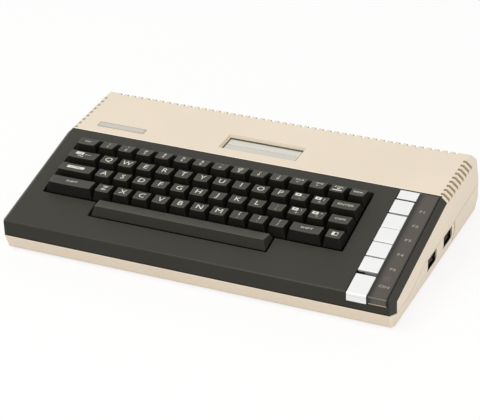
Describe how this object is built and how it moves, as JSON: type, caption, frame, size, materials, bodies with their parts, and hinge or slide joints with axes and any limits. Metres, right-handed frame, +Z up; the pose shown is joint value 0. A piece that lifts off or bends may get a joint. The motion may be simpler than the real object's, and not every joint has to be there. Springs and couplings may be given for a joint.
{
  "type": "vintage home computer",
  "caption": "Wedge-shaped home computer with a full keyboard, a column of silver function keys, a sprung cartridge slot, side controller ports and rear connectors.",
  "frame": {"origin": "centre of the bounding box at the level of the rubber feet", "axes": "+X to the right along the keyboard, +Y to the rear, +Z up; the keyboard faces -Y"},
  "size_m": [0.378, 0.223, 0.0636],
  "materials": {
    "cream_plastic": "fine moulded grain",
    "charcoal_plastic": "fine moulded grain",
    "smoked_plastic": "smooth, translucent",
    "silver_plastic": "satin silver",
    "badge_metal": "fine brushed",
    "red_lens": "clear red",
    "foot_rubber": "matt",
    "plated_steel": "plated",
    "circuit_board": "lacquered",
    "chip_plastic": "matt",
    "black_plastic": "satin",
    "ribbon_plastic": "satin",
    "contact_brass": "plated",
    "key_plastic": "fine satin grain",
    "brushed_door": "brushed along its length"
  },
  "bodies": {
    "case": {"lower_shell": "cream_plastic", "upper_shell": "cream_plastic", "side_panel": "cream_plastic", "rear_panels": "cream_plastic", "keyboard_bezel": "charcoal_plastic", "label_strip": "smoked_plastic", "console_trims": "silver_plastic", "name_plate": "badge_metal", "power_led": "red_lens", "feet": "foot_rubber", "case_screws": "plated_steel", "lower_shield": "plated_steel", "upper_shield": "plated_steel", "main_board": "circuit_board", "main_chips": "chip_plastic", "modulator_can": "plated_steel", "cartridge_socket": "black_plastic", "keyboard_plate": "black_plastic", "keyboard_circuit": "circuit_board", "keyboard_ribbon": "ribbon_plastic", "key_springs": "plated_steel", "console_board": "circuit_board", "game_ports": "black_plastic", "port_pins": "contact_brass", "serial_port": "black_plastic", "bus_connector": "black_plastic", "monitor_socket": "black_plastic", "aerial_jack": "plated_steel", "power_socket": "black_plastic", "channel_switch": "plated_steel", "power_switch": "black_plastic"},
    "key_escape": {"key_escape": "key_plastic"},
    "digit_keys_left": {"digit_keys_left": "key_plastic"},
    "digit_keys_right": {"digit_keys_right": "key_plastic"},
    "edit_keys": {"edit_keys": "key_plastic"},
    "key_break": {"key_break": "key_plastic"},
    "key_tab": {"key_tab": "key_plastic"},
    "upper_letters_left": {"upper_letters_left": "key_plastic"},
    "upper_letters_right": {"upper_letters_right": "key_plastic"},
    "key_enter": {"key_enter": "key_plastic"},
    "key_control": {"key_control": "key_plastic"},
    "home_letters_left": {"home_letters_left": "key_plastic"},
    "home_letters_right": {"home_letters_right": "key_plastic"},
    "key_caps": {"key_caps": "key_plastic"},
    "key_shift_left": {"key_shift_left": "key_plastic"},
    "lower_letters_left": {"lower_letters_left": "key_plastic"},
    "lower_letters_right": {"lower_letters_right": "key_plastic"},
    "key_shift_right": {"key_shift_right": "key_plastic"},
    "key_inverse": {"key_inverse": "key_plastic"},
    "cursor_keys": {"cursor_keys": "key_plastic"},
    "space_bar": {"space_bar": "key_plastic"},
    "console_key_1": {"console_key_1": "silver_plastic"},
    "console_key_2": {"console_key_2": "silver_plastic"},
    "console_key_3": {"console_key_3": "silver_plastic"},
    "console_key_4": {"console_key_4": "silver_plastic"},
    "console_key_5": {"console_key_5": "silver_plastic"},
    "door_front": {"door_front": "brushed_door"},
    "door_rear": {"door_rear": "brushed_door"},
    "power_rocker": {"power_rocker": "black_plastic"},
    "channel_slider": {"channel_slider": "black_plastic"}
  },
  "joints": [
    {"name": "key_escape_press", "type": "slide", "parent": "case", "child": "key_escape", "axis": [0, 0.2164, -0.9763], "range_m": [0, 0.0038], "stiffness_N_per_m": 120, "springref_m": -0.004, "deforming": ["key_springs"]},
    {"name": "digit_keys_left_press", "type": "slide", "parent": "case", "child": "digit_keys_left", "axis": [0, 0.2164, -0.9763], "range_m": [0, 0.0038], "stiffness_N_per_m": 120, "springref_m": -0.004, "deforming": ["key_springs"]},
    {"name": "digit_keys_right_press", "type": "slide", "parent": "case", "child": "digit_keys_right", "axis": [0, 0.2164, -0.9763], "range_m": [0, 0.0038], "stiffness_N_per_m": 120, "springref_m": -0.004, "deforming": ["key_springs"]},
    {"name": "edit_keys_press", "type": "slide", "parent": "case", "child": "edit_keys", "axis": [0, 0.2164, -0.9763], "range_m": [0, 0.0038], "stiffness_N_per_m": 120, "springref_m": -0.004, "deforming": ["key_springs"]},
    {"name": "key_break_press", "type": "slide", "parent": "case", "child": "key_break", "axis": [0, 0.2164, -0.9763], "range_m": [0, 0.0038], "stiffness_N_per_m": 120, "springref_m": -0.004, "deforming": ["key_springs"]},
    {"name": "key_tab_press", "type": "slide", "parent": "case", "child": "key_tab", "axis": [0, 0.2164, -0.9763], "range_m": [0, 0.0038], "stiffness_N_per_m": 120, "springref_m": -0.004, "deforming": ["key_springs"]},
    {"name": "upper_letters_left_press", "type": "slide", "parent": "case", "child": "upper_letters_left", "axis": [0, 0.2164, -0.9763], "range_m": [0, 0.0038], "stiffness_N_per_m": 120, "springref_m": -0.004, "deforming": ["key_springs"]},
    {"name": "upper_letters_right_press", "type": "slide", "parent": "case", "child": "upper_letters_right", "axis": [0, 0.2164, -0.9763], "range_m": [0, 0.0038], "stiffness_N_per_m": 120, "springref_m": -0.004, "deforming": ["key_springs"]},
    {"name": "key_enter_press", "type": "slide", "parent": "case", "child": "key_enter", "axis": [0, 0.2164, -0.9763], "range_m": [0, 0.0038], "stiffness_N_per_m": 120, "springref_m": -0.004, "deforming": ["key_springs"]},
    {"name": "key_control_press", "type": "slide", "parent": "case", "child": "key_control", "axis": [0, 0.2164, -0.9763], "range_m": [0, 0.0038], "stiffness_N_per_m": 120, "springref_m": -0.004, "deforming": ["key_springs"]},
    {"name": "home_letters_left_press", "type": "slide", "parent": "case", "child": "home_letters_left", "axis": [0, 0.2164, -0.9763], "range_m": [0, 0.0038], "stiffness_N_per_m": 120, "springref_m": -0.004, "deforming": ["key_springs"]},
    {"name": "home_letters_right_press", "type": "slide", "parent": "case", "child": "home_letters_right", "axis": [0, 0.2164, -0.9763], "range_m": [0, 0.0038], "stiffness_N_per_m": 120, "springref_m": -0.004, "deforming": ["key_springs"]},
    {"name": "key_caps_press", "type": "slide", "parent": "case", "child": "key_caps", "axis": [0, 0.2164, -0.9763], "range_m": [0, 0.0038], "stiffness_N_per_m": 120, "springref_m": -0.004, "deforming": ["key_springs"]},
    {"name": "key_shift_left_press", "type": "slide", "parent": "case", "child": "key_shift_left", "axis": [0, 0.2164, -0.9763], "range_m": [0, 0.0038], "stiffness_N_per_m": 120, "springref_m": -0.004, "deforming": ["key_springs"]},
    {"name": "lower_letters_left_press", "type": "slide", "parent": "case", "child": "lower_letters_left", "axis": [0, 0.2164, -0.9763], "range_m": [0, 0.0038], "stiffness_N_per_m": 120, "springref_m": -0.004, "deforming": ["key_springs"]},
    {"name": "lower_letters_right_press", "type": "slide", "parent": "case", "child": "lower_letters_right", "axis": [0, 0.2164, -0.9763], "range_m": [0, 0.0038], "stiffness_N_per_m": 120, "springref_m": -0.004, "deforming": ["key_springs"]},
    {"name": "key_shift_right_press", "type": "slide", "parent": "case", "child": "key_shift_right", "axis": [0, 0.2164, -0.9763], "range_m": [0, 0.0038], "stiffness_N_per_m": 120, "springref_m": -0.004, "deforming": ["key_springs"]},
    {"name": "key_inverse_press", "type": "slide", "parent": "case", "child": "key_inverse", "axis": [0, 0.2164, -0.9763], "range_m": [0, 0.0038], "stiffness_N_per_m": 120, "springref_m": -0.004, "deforming": ["key_springs"]},
    {"name": "cursor_keys_press", "type": "slide", "parent": "case", "child": "cursor_keys", "axis": [0, 0.2164, -0.9763], "range_m": [0, 0.0038], "stiffness_N_per_m": 120, "springref_m": -0.004, "deforming": ["key_springs"]},
    {"name": "space_bar_press", "type": "slide", "parent": "case", "child": "space_bar", "axis": [0, 0.2164, -0.9763], "range_m": [0, 0.0038], "stiffness_N_per_m": 200, "springref_m": -0.004, "deforming": ["key_springs"]},
    {"name": "console_key_1_press", "type": "slide", "parent": "case", "child": "console_key_1", "axis": [0, 0.2164, -0.9763], "range_m": [0, 0.0015], "stiffness_N_per_m": 400, "springref_m": -0.002},
    {"name": "console_key_2_press", "type": "slide", "parent": "case", "child": "console_key_2", "axis": [0, 0.2164, -0.9763], "range_m": [0, 0.0015], "stiffness_N_per_m": 400, "springref_m": -0.002},
    {"name": "console_key_3_press", "type": "slide", "parent": "case", "child": "console_key_3", "axis": [0, 0.2164, -0.9763], "range_m": [0, 0.0015], "stiffness_N_per_m": 400, "springref_m": -0.002},
    {"name": "console_key_4_press", "type": "slide", "parent": "case", "child": "console_key_4", "axis": [0, 0.2164, -0.9763], "range_m": [0, 0.0015], "stiffness_N_per_m": 400, "springref_m": -0.002},
    {"name": "console_key_5_press", "type": "slide", "parent": "case", "child": "console_key_5", "axis": [0, 0.2164, -0.9763], "range_m": [0, 0.0015], "stiffness_N_per_m": 400, "springref_m": -0.002},
    {"name": "door_front_hinge", "type": "hinge", "parent": "case", "child": "door_front", "pos_m": [0, 0.0394, 0.05671], "axis": [-1, 0, 0], "range_deg": [0, 80], "stiffness_Nm_per_rad": 0.004, "springref_deg": -22.92},
    {"name": "door_rear_hinge", "type": "hinge", "parent": "case", "child": "door_rear", "pos_m": [0, 0.05779, 0.05722], "axis": [1, 0, 0], "range_deg": [0, 80], "stiffness_Nm_per_rad": 0.004, "springref_deg": -22.92},
    {"name": "power_rocker_tilt", "type": "hinge", "parent": "case", "child": "power_rocker", "pos_m": [-0.15, 0.1065, 0.0186], "axis": [0, 0, 1], "range_deg": [0, 14]},
    {"name": "channel_slider_slide", "type": "slide", "parent": "case", "child": "channel_slider", "axis": [1, 0, 0], "range_m": [0, 0.004]}
  ]
}
